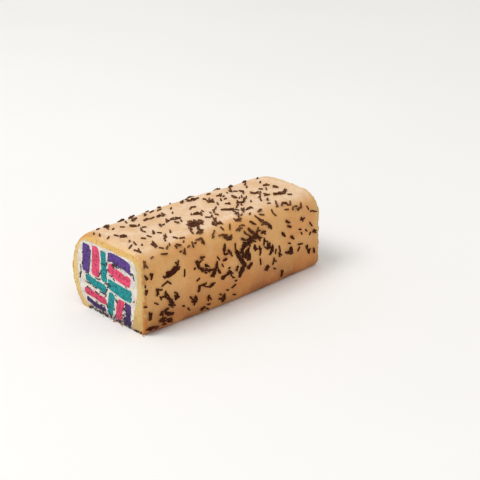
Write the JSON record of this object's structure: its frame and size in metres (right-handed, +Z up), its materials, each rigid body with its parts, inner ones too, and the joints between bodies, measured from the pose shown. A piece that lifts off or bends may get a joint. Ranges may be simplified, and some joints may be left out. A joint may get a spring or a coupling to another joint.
{
  "type": "swiss roll cake",
  "caption": "Long sponge roll cake, cut at both ends, with a pinwheel of coloured sponge strips in cream and sprinkles pressed into its skin.",
  "frame": {"origin": "centre of the underside of the bounding box, on the surface the cake rests on", "axes": "+Y along the roll from the near cut face to the far one, +X to the right when facing the near cut face, +Z up"},
  "size_m": [0.1127, 0.23, 0.0805],
  "materials": {
    "sponge_skin": "baked sponge skin, dry and matt, pale gold with browned edges",
    "cream": "whipped buttercream, soft satin",
    "purple_sponge": "open cake crumb, dry",
    "pink_sponge": "open cake crumb, dry",
    "teal_sponge": "open cake crumb, dry",
    "chocolate": "dark sugar sprinkles, dull shine"
  },
  "bodies": {
    "root": {"sponge_wrap": "sponge_skin", "cream_filling": "cream", "strip_top_left_purple": "purple_sponge", "strip_top_left_pink": "pink_sponge", "strip_top_left_teal": "teal_sponge", "strip_top_right_purple": "purple_sponge", "strip_top_right_pink": "pink_sponge", "strip_top_right_teal": "teal_sponge", "strip_bottom_right_purple": "purple_sponge", "strip_bottom_right_pink": "pink_sponge", "strip_bottom_right_teal": "teal_sponge", "strip_bottom_left_purple": "purple_sponge", "strip_bottom_left_pink": "pink_sponge", "strip_bottom_left_teal": "teal_sponge"}
  },
  "joints": []
}
